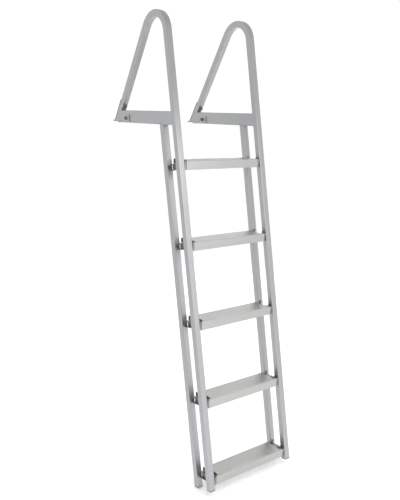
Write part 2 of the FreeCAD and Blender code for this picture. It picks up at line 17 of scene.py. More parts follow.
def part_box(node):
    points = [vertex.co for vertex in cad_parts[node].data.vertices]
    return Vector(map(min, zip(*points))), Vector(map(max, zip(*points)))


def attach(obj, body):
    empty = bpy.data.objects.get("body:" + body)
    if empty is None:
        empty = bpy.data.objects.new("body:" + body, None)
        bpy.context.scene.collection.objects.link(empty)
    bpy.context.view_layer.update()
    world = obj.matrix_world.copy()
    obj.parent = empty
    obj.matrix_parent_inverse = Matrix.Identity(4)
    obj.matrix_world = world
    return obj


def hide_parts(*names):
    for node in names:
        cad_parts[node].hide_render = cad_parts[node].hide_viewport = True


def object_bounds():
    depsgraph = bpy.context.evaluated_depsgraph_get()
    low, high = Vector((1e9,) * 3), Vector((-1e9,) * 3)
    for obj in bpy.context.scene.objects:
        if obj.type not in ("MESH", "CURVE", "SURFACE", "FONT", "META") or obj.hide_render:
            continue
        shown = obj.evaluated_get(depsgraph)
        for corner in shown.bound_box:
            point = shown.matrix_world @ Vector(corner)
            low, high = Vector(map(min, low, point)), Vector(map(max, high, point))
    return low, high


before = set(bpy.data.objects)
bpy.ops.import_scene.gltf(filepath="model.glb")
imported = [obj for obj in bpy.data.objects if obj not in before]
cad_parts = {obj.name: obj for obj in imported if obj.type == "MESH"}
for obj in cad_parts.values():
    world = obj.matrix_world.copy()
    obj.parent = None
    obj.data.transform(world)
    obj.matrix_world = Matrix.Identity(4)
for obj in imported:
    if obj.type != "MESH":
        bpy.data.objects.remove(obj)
cad_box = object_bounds()
print("pieces in the frame:", len(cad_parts))

# %% [markdown]
# ## Camera
#
# A camera can be placed by eye, or worked out from the picture. Here the second way was
# used: the rails, steps and handles, whose sizes are known, were matched to where they appear,
# which gives the camera's place, its three angles and its lens. Yaw turns it from +Y towards
# +X, a pitch below zero looks down, and roll leans it.

# %% Camera at the picture's angle
CAMERA_PLACE = Vector((-1.14696, -2.21853, 0.04597))
CAMERA_YAW = math.radians(35.19)
CAMERA_PITCH = math.radians(-13.74)
CAMERA_ROLL = math.radians(1.57)
PICTURE_HEIGHT = 500
FOCAL_PIXELS = 561.9
SENSOR = 36.0


def aim(yaw, pitch, roll):
    """The camera's axes as the columns of a matrix: right, up and backwards."""
    forward = Vector((
        math.sin(yaw) * math.cos(pitch),
        math.cos(yaw) * math.cos(pitch),
        math.sin(pitch),
    ))
    level = Vector((math.cos(yaw), -math.sin(yaw), 0))
    upright = level.cross(forward)
    right = level * math.cos(roll) + upright * math.sin(roll)
    up = upright * math.cos(roll) - level * math.sin(roll)
    return Matrix((right, up, -forward)).transposed()


lens = bpy.data.cameras.new("camera")
lens.sensor_fit = "VERTICAL"
lens.sensor_height = SENSOR
lens.lens = FOCAL_PIXELS * SENSOR / PICTURE_HEIGHT
camera = bpy.data.objects.new("camera", lens)
axes = aim(CAMERA_YAW, CAMERA_PITCH, CAMERA_ROLL)
camera.matrix_world = Matrix.Translation(CAMERA_PLACE) @ axes.to_4x4()
bpy.context.scene.collection.objects.link(camera)
bpy.context.scene.camera = camera
print("lens %.1f mm" % lens.lens)

# %% [markdown]
# ## Terms and benches
#
# Blender keeps a finish, and a rule for a shape, as a tree of nodes. Written out link by
# link such a tree is hard to read, so two small classes help. A Term is one output of a
# node: arithmetic on it adds Math nodes. A Bench is the tree: its node() makes any node,
# settles what kind it is first, and then fills or joins its inputs.

# %% Terms and benches
class Term:
    """One output of a node. Sums and products of terms become Math nodes."""

    def __init__(self, bench, socket):
        self.bench = bench
        self.socket = socket

    def other(self, name):
        """Another output of the same node."""
        return Term(self.bench, self.socket.node.outputs[name])

    def math(self, operation, first, second=0.0):
        return self.bench.node("ShaderNodeMath", {"operation": operation}, {0: first, 1: second})

    def __add__(self, value):
        return self.math("ADD", self, value)

    def __sub__(self, value):
        return self.math("SUBTRACT", self, value)

    def __rsub__(self, value):
        return self.math("SUBTRACT", value, self)

    def __mul__(self, value):
        return self.math("MULTIPLY", self, value)

    def __truediv__(self, value):
        return self.math("DIVIDE", self, value)

    def __rtruediv__(self, value):
        return self.math("DIVIDE", value, self)

    def __gt__(self, value):
        return self.math("GREATER_THAN", self, value)

    __radd__ = __add__
    __rmul__ = __mul__


class Bench:
    """A tree of nodes that is being built."""

    def __init__(self, tree):
        self.tree = tree

    def node(self, kind, settings=None, inputs=None, output=0):
        item = self.tree.nodes.new(kind)
        for name, value in (settings or {}).items():
            if name == "captures":
                for label, form in value.items():
                    item.capture_items.new(form, label)
            elif name == "stops":
                for stop, (place, level) in zip(item.color_ramp.elements, value):
                    stop.position = place
                    stop.color = (level, level, level, 1)
            else:
                setattr(item, name, value)
        for name, value in (inputs or {}).items():
            if isinstance(value, Term):
                self.tree.links.new(value.socket, item.inputs[name])
            else:
                item.inputs[name].default_value = value
        return Term(self, item.outputs[output]) if item.outputs else None


# %% [markdown]
# ## Drawn aluminium
#
# Square tube is pushed through a steel die, which leaves faint lines that run along it, also
# round its bends. They could be painted in world directions, but on a bend those would slide
# off the tube. So every tube below carries an attribute called section: where a point lies
# across the tube, and how far along. Noise that is fine across and very long along gives the
# lines. Handling leaves larger, softer patches on top. Both go into colour and roughness,
# and the lines also into a very shallow bump.

# %% Drawn aluminium
FRAME_GREY = (0.405, 0.41, 0.42)
STEP_GREY = (0.455, 0.452, 0.446)
LINES_ACROSS = 700.0
LINES_ALONG = 1.5
LINE_RELIEF = 0.00003
LINE_SHARE = 0.6
PATCH_SCALE = 16.0
NOISE_DETAIL = 3.0
NOISE_ROUGHNESS = 0.62


def new_finish(name, metallic, roughness):
    """A material, a bench for its tree, and its shader."""
    material = bpy.data.materials.new(name)
    material.use_nodes = True
    shader = material.node_tree.nodes["Principled BSDF"]
    shader.inputs["Metallic"].default_value = metallic
    shader.inputs["Roughness"].default_value = roughness
    return material, Bench(material.node_tree), shader


def shade(bench, shader, **terms):
    """Join terms to the shader's inputs; an underscore in a name stands for a space."""
    for name, term in terms.items():
        bench.tree.links.new(term.socket, shader.inputs[name.replace("_", " ")])


def noise(bench, place, scale):
    """Soft patches from 0 to 1."""
    return bench.node("ShaderNodeTexNoise", {}, {
        "Vector": place, "Scale": scale, "Detail": NOISE_DETAIL, "Roughness": NOISE_ROUGHNESS})


def streaks(bench, place, stretch):
    """Noise from 0 to 1, stretched by a scale for each axis."""
    stretched = bench.node("ShaderNodeMapping", {}, {"Vector": place, "Scale": stretch})
    return noise(bench, stretched, 1.0)


def mottled(bench, amount, colour, least, most):
    """A colour between two shares of itself, as a term goes from 0 to 1."""
    dark, light = ((*(channel * share for channel in colour), 1) for share in (least, most))
    return bench.node("ShaderNodeMix", {"data_type": "RGBA"}, {0: amount, 6: dark, 7: light}, 2)


def relief(bench, height, distance):
    """Bumps as deep as a distance in metres."""
    return bench.node("ShaderNodeBump", {}, {"Height": height, "Distance": distance})


def object_place(bench):
    """A pattern's place for pieces that aren't bent: the object's own axes."""
    return bench.node("ShaderNodeTexCoord", {}, {}, "Object")


def drawn_aluminium(name, colour, place_of, stretch):
    """Bright drawn metal; place_of gives the pattern's place on a bench."""
    material, bench, shader = new_finish(name, 1.0, 0.40)
    place = place_of(bench)
    lines = streaks(bench, place, stretch)
    fog = noise(bench, place, PATCH_SCALE)
    mixed = lines * LINE_SHARE + fog * (1 - LINE_SHARE)
    shade(
        bench, shader,
        Base_Color=mottled(bench, mixed, colour, 0.90, 1.10),
        Roughness=0.30 + lines * 0.12 + fog * 0.12,
        Normal=relief(bench, lines, LINE_RELIEF),
    )
    return material


def section_place(bench):
    """A pattern's place for tube: across its section, and along it."""
    return bench.node("ShaderNodeAttribute", {"attribute_name": "section"}, {}, "Vector")


tube_finish = drawn_aluminium(
    "drawn_tube", FRAME_GREY, section_place, (LINES_ACROSS, LINES_ACROSS, LINES_ALONG))
step_finish = drawn_aluminium(
    "extruded_step", STEP_GREY, object_place, (LINES_ALONG, LINES_ACROSS, LINES_ACROSS))
print("finishes:", tube_finish.name, step_finish.name)

# %% [markdown]
# ## Plate, weld, steel and plastic
#
# Brackets are cut from rolled plate: its grain runs one way, and its face is duller than
# drawn tube. A weld bead is metal that has melted and set, so it is bright, with soot in
# patches. The bolts are stainless steel, turned and rolled rather than drawn, and the plugs
# in the rail ends are moulded plastic with the fine pitted skin of its mould. One grey could
# serve for all the metal, but it is the marks that tell them apart close up, so each finish
# has noise at the scale of its own marks. The plate of the channels, straps and shelves has
# a darker grey than the deck brackets' plate. That darker grey is painted shade, standing in
# for the shade between the rails where the channels sit. The plugs' black also colours the
# trims at the step ends, where it is painted shade too.

# %% Plate, weld, steel and plastic
# Painted shade: the plate grey of the channels, straps and shelves is darkened for the shade
# between the rails.
SHADED_PLATE_GREY = (0.30, 0.30, 0.298)
DECK_PLATE_GREY = (0.47, 0.465, 0.455)
WELD_GREY = (0.50, 0.50, 0.49)
STEEL_GREY = (0.25, 0.247, 0.24)
# The plugs' black, also used as painted shade on the trims at the step ends.
PLUG_AND_SHADE_GREY = (0.060, 0.062, 0.066)
PLATE_GRAIN = (500.0, 40.0, 500.0)
PLATE_PATCHES = 45.0
PLATE_RELIEF = 0.00004
SOOT_SCALE = 160.0
BEAD_GRAIN = 900.0
BEAD_RELIEF = 0.00005
WEAR_SCALE = 220.0
TURNED_GRAIN = 1400.0
TURNED_RELIEF = 0.00002
DUST_SCALE = 60.0
PIT_SCALE = 1500.0
PIT_RELIEF = 0.00005


def rolled_plate(name, colour):
    """Dull plate whose grain runs along Y."""
    material, bench, shader = new_finish(name, 1.0, 0.48)
    place = object_place(bench)
    grain = streaks(bench, place, PLATE_GRAIN)
    fog = noise(bench, place, PLATE_PATCHES)
    shade(
        bench, shader,
        Base_Color=mottled(bench, fog, colour, 0.82, 1.12),
        Roughness=0.40 + grain * 0.12 + fog * 0.12,
        Normal=relief(bench, grain, PLATE_RELIEF),
    )
    return material


def weld_metal(name, colour):
    """Metal that has melted and set, with soot in patches."""
    material, bench, shader = new_finish(name, 1.0, 0.38)
    place = object_place(bench)
    soot = noise(bench, place, SOOT_SCALE)
    shade(
        bench, shader,
        Base_Color=mottled(bench, soot, colour, 0.65, 1.15),
        Roughness=0.28 + soot * 0.25,
        Normal=relief(bench, noise(bench, place, BEAD_GRAIN), BEAD_RELIEF),
    )
    return material


def stainless_steel(name, colour):
    """Turned steel, smoother where it has worn."""
    material, bench, shader = new_finish(name, 1.0, 0.30)
    place = object_place(bench)
    wear = noise(bench, place, WEAR_SCALE)
    shade(
        bench, shader,
        Base_Color=mottled(bench, wear, colour, 0.80, 1.15),
        Roughness=0.20 + wear * 0.22,
        Normal=relief(bench, noise(bench, place, TURNED_GRAIN), TURNED_RELIEF),
    )
    return material


def moulded_plastic(name, colour):
    """Black plastic with pits from its mould and a little dust."""
    material, bench, shader = new_finish(name, 0.0, 0.55)
    place = object_place(bench)
    pits = bench.node("ShaderNodeTexVoronoi", {}, {"Vector": place, "Scale": PIT_SCALE})
    dust = noise(bench, place, DUST_SCALE)
    shade(
        bench, shader,
        Base_Color=mottled(bench, dust, colour, 0.85, 1.35),
        Roughness=0.50 + dust * 0.15,
        Normal=relief(bench, pits, PIT_RELIEF),
    )
    return material


# The darkened plate made here is painted shade; the deck brackets keep the brighter plate.
shaded_plate_finish = rolled_plate("rolled_plate", SHADED_PLATE_GREY)
deck_plate_finish = rolled_plate("deck_plate", DECK_PLATE_GREY)
weld_finish = weld_metal("weld_metal", WELD_GREY)
steel_finish = stainless_steel("stainless_steel", STEEL_GREY)
# This black plastic finish covers the real plugs and, as painted shade, the trims at the step
# ends.
plastic_and_shade_finish = moulded_plastic("moulded_plastic", PLUG_AND_SHADE_GREY)
for finish in (shaded_plate_finish, deck_plate_finish, weld_finish, steel_finish, plastic_and_shade_finish):
    print("finish:", finish.name)

# %% [markdown]
# ## Rules for shapes
#
# Tubes, bolts and welds repeat, or follow a path. Python could place their points one by
# one, but a small tree of Geometry Nodes keeps the shape's sizes in named inputs, where they
# can be changed and watched. A piece starts as a mesh of points or edges, to which the tree
# is fitted as a modifier. The result is kept as a plain mesh and the modifier is taken off
# again, so that the finished piece is nothing but faces.

# %% Fit a rule to a mesh
SOCKETS = {float: "NodeSocketFloat", int: "NodeSocketInt"}


def new_rule(name, sizes):
    """A geometry tree with named sizes: its bench and a term for each input."""
    tree = bpy.data.node_groups.new(name, "GeometryNodeTree")
    tree.interface.new_socket("Geometry", in_out="INPUT", socket_type="NodeSocketGeometry")
    tree.interface.new_socket("Geometry", in_out="OUTPUT", socket_type="NodeSocketGeometry")
    for label, value in sizes.items():
        socket = tree.interface.new_socket(
            label, in_out="INPUT", socket_type=SOCKETS[type(value)])
        socket.default_value = value
    bench = Bench(tree)
    entry = bench.node("NodeGroupInput")
    terms = {label: entry.other(label) for label in ("Geometry", *sizes)}
    return bench, terms


def close_rule(bench, shape, material):
    """End a tree: realize its instances, give it its material and hand it out."""
    real = bench.node("GeometryNodeRealizeInstances", {}, {0: shape})
    coated = bench.node("GeometryNodeSetMaterial", {}, {"Geometry": real, "Material": material})
    bench.node("NodeGroupOutput", {}, {"Geometry": coated})


def link_object(name, mesh):
    thing = bpy.data.objects.new(name, mesh)
    bpy.context.scene.collection.objects.link(thing)
    return thing


def settle(thing):
    """Replace an object's mesh by what its modifiers make of it, and take them off."""
    depsgraph = bpy.context.evaluated_depsgraph_get()
    result = bpy.data.meshes.new_from_object(
        thing.evaluated_get(depsgraph), preserve_all_data_layers=True, depsgraph=depsgraph)
    thing.modifiers.clear()
    thing.data = result
    return thing


def follow_rule(name, mesh, bench, **sizes):
    """An object whose mesh is the rule's result on a mesh, with some sizes set."""
    thing = link_object(name, mesh)
    fitted = thing.modifiers.new("rule", "NODES")
    fitted.node_group = bench.tree
    for item in bench.tree.interface.items_tree:
        key = item.name.replace(" ", "_").lower()
        if item.in_out == "INPUT" and key in sizes:
            fitted[item.identifier] = sizes[key]
    return settle(thing)


def edge_mesh(name, runs):
    """A mesh of edges through runs of points; a run marked closed returns to its start."""
    points = []
    edges = []
    for run, closed in runs:
        first = len(points)
        points.extend(run)
        edges.extend((first + index, first + index + 1) for index in range(len(run) - 1))
        if closed:
            edges.append((len(points) - 1, first))
    mesh = bpy.data.meshes.new(name)
    mesh.from_pydata(points, edges, [])
    return mesh


def smooth(thing, angle):
    """Smooth shading, with sharp edges where faces turn by more than an angle."""
    thing.data.shade_smooth()
    thing.data.set_sharp_from_angle(angle=math.radians(angle))


def even_normals(thing):
    """Keep large flats flat beside small roundings."""
    weighted = thing.modifiers.new("even", "WEIGHTED_NORMAL")
    weighted.keep_sharp = True
    return settle(thing)


def ready(piece, slot, *nodes):
    """Hand a finished piece over to its body and hide the nodes it stands for; the slot is not
    used.
    """
    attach(piece, "root")
    if nodes:
        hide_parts(*nodes)
    print("%-26s %6d faces" % (piece.name, len(piece.data.polygons)))


# %% [markdown]
# ## The side frame's lines
#
# All of a side frame lies in one upright plane. The rails lean away from the dock at the
# bottom, and the handle comes back down to the dock at its own slope. Points could be typed
# in as plain coordinates, but nothing would tell why they lie there. So a point is given the
# way a welder would set it out: across, square to the rails from the front rail's face, and
# along, down the rails from the deck.

# %% Side frame's sizes and lines
TUBE = 0.0254
WALL = 0.002
CORNER = 0.003
LEAN = math.radians(12.0)
LEG = math.radians(33.5)
REACH = 0.464
BEND_RADIUS = 0.084
FRONT_DROP = 1.402
REAR_DROP = 1.415
RAIL_GAP = 0.062
BAR_HEIGHT = 0.0508
PLATE = 0.003
LEG_OFFSET = 0.046
STRAP = 0.003
SIDES = ("left", "right")
INWARD = {"left": 1, "right": -1}
STEPS = range(1, 6)

RAIL_DOWN = Vector((0, -math.sin(LEAN), -math.cos(LEAN)))
RAIL_ACROSS = Vector((0, math.cos(LEAN), -math.sin(LEAN)))
LEG_DOWN = Vector((0, math.sin(LEG), -math.cos(LEG)))
LEG_BACK = Vector((0, math.cos(LEG), math.sin(LEG)))


def side_centre(side):
    """The X of the middle of a side frame's tubes."""
    low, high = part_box(side + "_side_tube")
    return (low[0] + high[0]) / 2


def rail_point(side, across, along):
    """A point in the side frame's plane, across and along the rails."""
    corner = Vector((
        side_centre(side),
        LEG_OFFSET - REACH - TUBE / 2 / math.cos(LEAN),
        PLATE,
    ))
    return corner + RAIL_ACROSS * across + RAIL_DOWN * along


def leg_point(side, offset, height):
    """A point beside the leg's centreline, by its height over the deck bracket's plate."""
    down = LEG_DOWN * (height / math.cos(LEG))
    foot = Vector((side_centre(side), LEG_OFFSET, PLATE))
    return foot - down + LEG_BACK * offset


def outer_x(side, node):
    """The X where a piece ends towards the outside of the ladder, on one side."""
    low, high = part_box(node)
    return low[0] if side == "left" else high[0]


def crown(side):
    """Where the front rail's line and the leg's line would meet without the bend."""
    rail = rail_point(side, TUBE / 2, 0)
    foot = leg_point(side, 0, 0)
    gap = foot - rail
    turn = RAIL_DOWN.y * LEG_DOWN.z - RAIL_DOWN.z * LEG_DOWN.y
    climb = (gap.y * LEG_DOWN.z - gap.z * LEG_DOWN.y) / turn
    return rail + RAIL_DOWN * climb


for side in SIDES:
    print(side, "frame at x %.4f, lines meet at z %.4f" % (side_centre(side), crown(side).z))

# %% [markdown]
# ## Tubes
#
# The front rail, the loop over the deck and the handle's leg are one length of square tube,
# bent once. It could be extruded in pieces and joined at the bend, but a sweep is how it is
# made: the tree rounds a path of three points, carries a rounded square along it, and writes
# down where each point lies in the section. The wall is a second, smaller sweep inside the
# first, and the two are joined at the cut ends. The rear rails and the deck bars follow the
# same rule with straight paths.

# %% The rule for drawn tube
tube_bench, tube = new_rule("Drawn tube", {
    "Width": TUBE, "Depth": TUBE, "Corner": CORNER, "Corner steps": 6,
    "Bend radius": BEND_RADIUS, "Bend steps": 48,
})


def rounded(bench, curve, steps, radius):
    """A curve with its corners rounded in a number of steps."""
    return bench.node("GeometryNodeFilletCurve", {"mode": "POLY"}, {
        "Curve": curve, "Count": steps, "Radius": radius, "Limit Radius": True})


route = tube_bench.node("GeometryNodeMeshToCurve", {}, {0: tube["Geometry"]})
route = rounded(tube_bench, route, tube["Bend steps"], tube["Bend radius"])
length = tube_bench.node("GeometryNodeSplineParameter").other("Length")
route = tube_bench.node(
    "GeometryNodeCaptureAttribute", {"captures": {"Along": "FLOAT"}},
    {"Geometry": route, "Along": length})
outline = tube_bench.node("GeometryNodeCurvePrimitiveQuadrilateral", {}, {
    "Width": tube["Width"], "Height": tube["Depth"]})
outline = rounded(tube_bench, outline, tube["Corner steps"], tube["Corner"])
outline = tube_bench.node(
    "GeometryNodeCaptureAttribute", {"captures": {"Place": "VECTOR"}},
    {"Geometry": outline, "Place": tube_bench.node("GeometryNodeInputPosition")})
skin = tube_bench.node("GeometryNodeCurveToMesh", {}, {
    "Curve": route, "Profile Curve": outline})
place = tube_bench.node("ShaderNodeSeparateXYZ", {}, {0: outline.other("Place")})
section = tube_bench.node("ShaderNodeCombineXYZ", {}, {
    "X": place.other("X"), "Y": place.other("Y"), "Z": route.other("Along")})
skin = tube_bench.node(
    "GeometryNodeStoreNamedAttribute", {"data_type": "FLOAT_VECTOR", "domain": "POINT"},
    {"Geometry": skin, "Name": "section", "Value": section})
close_rule(tube_bench, skin, tube_finish)
print("rule:", tube_bench.tree.name, len(tube_bench.tree.nodes), "nodes")


# %% Tubes with a wall, trimmed at their ends
TUBE_CREASE = 40.0


def open_loops(shape):
    """The rings of open edges, each as a list."""
    left = {edge for edge in shape.edges if edge.is_boundary}
    loops = []
    while left:
        ring = []
        found = [left.pop()]
        while found:
            edge = found.pop()
            ring.append(edge)
            for vertex in edge.verts:
                for near in vertex.link_edges:
                    if near in left:
                        left.remove(near)
                        found.append(near)
        loops.append(ring)
    return loops


def ring_centre(ring):
    corners = [vertex.co for edge in ring for vertex in edge.verts]
    return sum(corners, Vector()) / len(corners)


def join_walls(shape):
    """Bridge each open ring to the ring that lies nearest, outer wall to inner wall."""
    rings = open_loops(shape)
    while rings:
        ring = rings.pop()
        centre = ring_centre(ring)
        mate = min(rings, key=lambda other: (ring_centre(other) - centre).length)
        rings.remove(mate)
        bmesh.ops.bridge_loops(shape, edges=ring + mate)


def make_tube(name, points, width, depth, cuts, **sizes):
    """A hollow tube along points.

    Each cut has a place, the way to what is cut off, and how far from there it reaches.
    """
    shape = bmesh.new()
    for inset in (0.0, WALL):
        sweep = follow_rule(
            name, edge_mesh(name, [(points, False)]), tube_bench,
            width=width - 2 * inset, depth=depth - 2 * inset, corner=CORNER - inset, **sizes)
        shape.from_mesh(sweep.data)
        bpy.data.objects.remove(sweep)
    for spot, away, span in cuts:
        faces = [face for face in shape.faces if (face.calc_center_median() - spot).length < span]
        edges = {edge for face in faces for edge in face.edges}
        corners = {vertex for face in faces for vertex in face.verts}
        bmesh.ops.bisect_plane(
            shape, geom=[*corners, *edges, *faces],
            plane_co=spot, plane_no=away, clear_outer=True)
    join_walls(shape)
    bmesh.ops.recalc_face_normals(shape, faces=shape.faces)
    mesh = bpy.data.meshes.new(name)
    shape.to_mesh(mesh)
    shape.free()
    mesh.materials.append(tube_finish)
    thing = link_object(name, mesh)
    smooth(thing, TUBE_CREASE)
    return even_normals(thing)


DOWN = Vector((0, 0, -1))
UP = Vector((0, 0, 1))
REAR_CENTRE = TUBE + RAIL_GAP + TUBE / 2
HANDLE_SPAN = 0.30

for side in SIDES:
    foot = leg_point(side, 0, 0)
    bent = make_tube(
        side + "_bent_tube",
        [rail_point(side, TUBE / 2, FRONT_DROP), crown(side), foot + LEG_DOWN * TUBE],
        TUBE, TUBE, [(foot, DOWN, HANDLE_SPAN)])
    ready(bent, "frame_aluminium", side + "_side_tube")

    top = rail_point(side, REAR_CENTRE, -TUBE)
    straight = make_tube(
        side + "_straight_rail",
        [rail_point(side, REAR_CENTRE, REAR_DROP), top], TUBE, TUBE, [(foot, UP, REAR_DROP)])
    ready(straight, "frame_aluminium", side + "_rear_rail")

    rail_face = rail_point(side, TUBE, 0)
    leg_face = leg_point(side, -TUBE / 2, 0)
    middle = UP * (BAR_HEIGHT / 2)
    bar = make_tube(
        side + "_flat_bar",
        [rail_face + middle - Vector((0, TUBE, 0)), leg_face + middle + Vector((0, TUBE, 0))],
        TUBE, BAR_HEIGHT, [(rail_face, -RAIL_ACROSS, REACH), (leg_face, LEG_BACK, REACH)])
    ready(bar, "frame_aluminium", side + "_deck_bar")

# %% [markdown]
# ## Pieces of plate, the steps and the plugs
#
# These pieces already have the right outline in the frame, as loose triangles with razor
# edges. Real plate is deburred and an extrusion leaves its die with a small radius, and it
# is that radius which catches the light. So each one is copied, its doubled corners are
# merged, its flat triangles are joined into whole faces, and a narrow bevel runs along
# every sharp edge. The frame's own pieces stay as they are.

# %% Copies with softened edges
MERGE = 1e-6
FLAT = math.radians(1.0)
SHARP = 35.0


def round_edges(thing, width):
    """A narrow bevel on every edge that turns sharply."""
    smooth(thing, SHARP)
    bevel = thing.modifiers.new("edge", "BEVEL")
    bevel.limit_method = "ANGLE"
    bevel.angle_limit = math.radians(SHARP)
    bevel.width = width
    bevel.segments = 2
    bevel.harden_normals = True
    return settle(thing)


def soften(node, name, material, width, slot):
    """A copy of a frame piece with a small radius on its edges, in place of it."""
    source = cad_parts[node]
    shape = bmesh.new()
    shape.from_mesh(source.data)
    bmesh.ops.transform(shape, matrix=source.matrix_world, verts=shape.verts)
    bmesh.ops.remove_doubles(shape, verts=shape.verts, dist=MERGE)
    bmesh.ops.dissolve_limit(
        shape, angle_limit=FLAT, verts=shape.verts, edges=shape.edges)
    mesh = bpy.data.meshes.new(name)
    shape.to_mesh(mesh)
    shape.free()
    mesh.materials.append(material)
    ready(round_edges(link_object(name, mesh), width), slot, node)


STEP_EDGE = 0.0002
PLATE_EDGE = 0.0004
PLUG_EDGE = 0.0006

for number in STEPS:
    soften("step_%d" % number, "grooved_step_%d" % number, step_finish, STEP_EDGE,
           "step_aluminium")
for side in SIDES:
    soften(side + "_deck_bracket", side + "_plate_bracket", deck_plate_finish, PLATE_EDGE,
           "bracket_aluminium")
    soften(side + "_back_strap", side + "_bent_strap", shaded_plate_finish, PLATE_EDGE,
           "bracket_aluminium")
    for number in STEPS:
        # The channels get the darkened plate: painted shade between the rails.
        soften("%s_step_bracket_%d" % (side, number), "%s_channel_%d" % (side, number),
               shaded_plate_finish, PLATE_EDGE, "bracket_aluminium")
    for rail in ("front", "rear"):
        soften("%s_%s_end_cap" % (side, rail), "%s_%s_plug" % (side, rail), plastic_and_shade_finish,
               PLUG_EDGE, "cap_plastic")

# %% [markdown]
# ## Dark trims at the ends of the steps, painted shade
#
# Each end of a step meets the side frame with dark plastic trims, which are painted shade:
# they stand where the gaps, slits and corners at the step's end fall dark. There is a pad on
# the front rail's inner face that stands a little proud of the step's top, a short bar over
# the step's corner, a seam down its front, and a corner piece at its back edge. A thin shelf
# of the darkened plate lies under the cut-out in the top so that the cut-out looks dark
# inside, which is painted shade as well. Scaled cubes would do for the bar, the seam and the
# shelf, but the pad follows the rail's lean, which keeps it clear of the channel behind it,
# and the corner piece tapers. So each is a flat outline with some thickness: the outline
# counts back from the step's front edge and up from its top, and the thickness counts
# inwards from the side frame.

# %% Trims at the ends of the steps, painted shade
TRIM_EDGE = 0.0004
TRIM_SLACK = 0.0002
TRIM_PROUD = 0.0035
TRIM_PAD = 0.0235
TRIM_FRONT = 0.0006
TRIM_FOOT = 0.033
CORNER_BACK = 0.009
CORNER_FOOT = 0.014
TOP_BAR_LENGTH = 0.007
TOP_BAR_BACK = 0.009
SEAM_SETBACK = 0.0025
SEAM_WIDTH = 0.0032
SEAM_PROUD = 0.0004
SEAM_SUNK = 0.0008
SEAM_FOOT = 0.032
SHELF_TOP = 0.0125
SHELF_THICK = 0.0015
SHELF_LENGTH = 0.034
STEP_LIP = 0.002
END_PLATE = 0.003


def add_prism(shape, outline, corner, start, length):
    """Add an outline, given from a corner, as a closed prism along X.

    A length below zero runs towards -X.
    """
    near, far = (
        [shape.verts.new((x, corner.y + back, corner.z + up)) for back, up in outline]
        for x in (start, start + length))
    shape.faces.new(near)
    shape.faces.new(far[::-1])
    for index in range(len(near)):
        shape.faces.new((near[index], near[index - 1], far[index - 1], far[index]))


def prism_object(name, shape, material, width):
    """An object from prisms, with a small radius on their edges."""
    bmesh.ops.recalc_face_normals(shape, faces=shape.faces)
    mesh = bpy.data.meshes.new(name)
    shape.to_mesh(mesh)
    shape.free()
    mesh.materials.append(material)
    return round_edges(link_object(name, mesh), width)


def pad_outline():
    lean_back = (TRIM_FOOT + TRIM_PROUD) * math.tan(LEAN)
    return [(TRIM_FRONT, TRIM_PROUD), (TRIM_PAD, TRIM_PROUD),
            (TRIM_PAD - lean_back, -TRIM_FOOT), (TRIM_FRONT, -TRIM_FOOT)]


def corner_outline(depth):
    return [(depth - CORNER_BACK, TRIM_PROUD), (depth, TRIM_PROUD),
            (depth, -CORNER_FOOT), (depth - CORNER_BACK / 2, -CORNER_FOOT)]


def top_bar_outline():
    return [(TRIM_FRONT, TRIM_PROUD), (TOP_BAR_BACK, TRIM_PROUD),
            (TOP_BAR_BACK, 0), (TRIM_FRONT, 0)]


def seam_outline():
    return [(-SEAM_PROUD, 0), (SEAM_SUNK, 0),
            (SEAM_SUNK, -SEAM_FOOT), (-SEAM_PROUD, -SEAM_FOOT)]


def shelf_outline(depth):
    front = STEP_LIP + TRIM_SLACK
    back = depth - STEP_LIP - TRIM_SLACK
    return [(front, -SHELF_TOP), (back, -SHELF_TOP),
            (back, -SHELF_TOP - SHELF_THICK), (front, -SHELF_TOP - SHELF_THICK)]


for side in SIDES:
    inward = INWARD[side]
    rail_side = side_centre(side) + inward * TUBE / 2
    shade_trims = bmesh.new()
    shelves = bmesh.new()
    for number in STEPS:
        node = "step_%d" % number
        low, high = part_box(node)
        front_top = Vector((0, low[1], high[2]))
        depth = high[1] - low[1]
        step_end = outer_x(side, node)
        gap = rail_side + inward * TRIM_SLACK
        thick = step_end - inward * TRIM_SLACK - gap
        seam = step_end + inward * SEAM_SETBACK
        shelf = step_end + inward * (END_PLATE + TRIM_SLACK)
        # Black pad, corner piece, top bar and seam: painted shade where the step's end meets the
        # rails.
        add_prism(shade_trims, pad_outline(), front_top, gap, thick)
        add_prism(shade_trims, corner_outline(depth), front_top, gap, thick)
        add_prism(shade_trims, top_bar_outline(), front_top, step_end, inward * TOP_BAR_LENGTH)
        add_prism(shade_trims, seam_outline(), front_top, seam, inward * SEAM_WIDTH)
        # A shelf of the darkened plate closes the cut-out so that it looks dark inside: painted
        # shade.
        add_prism(shelves, shelf_outline(depth), front_top, shelf, inward * SHELF_LENGTH)
    # Black trims and darkened-plate shelves: painted shade at the step ends.
    ready(prism_object(side + "_end_trims", shade_trims, plastic_and_shade_finish, TRIM_EDGE),
          "cap_plastic")
    ready(prism_object(side + "_end_shelves", shelves, shaded_plate_finish, TRIM_EDGE),
          "bracket_aluminium")

# %% [markdown]
# ## Bolts
#
# Fourteen bolts hold the ladder together. A hexagon head isn't just a six-sided block: it is
# turned from bar, so its corners are cut back by a cone, which leaves a curved line on each
# flat. Modelled by hand that is fiddly, but as a rule it is short. A cylinder's rings are
# pushed out to the hexagon's radius for their angle, and the ring under the top drops by as
# much as the corner stands out, times the cone's slope. The thread is a small diamond that
# is carried along a spiral, half sunk in the core, so that a triangle stands out. The tree
# then stands one bolt on each point, along the point's own axis.

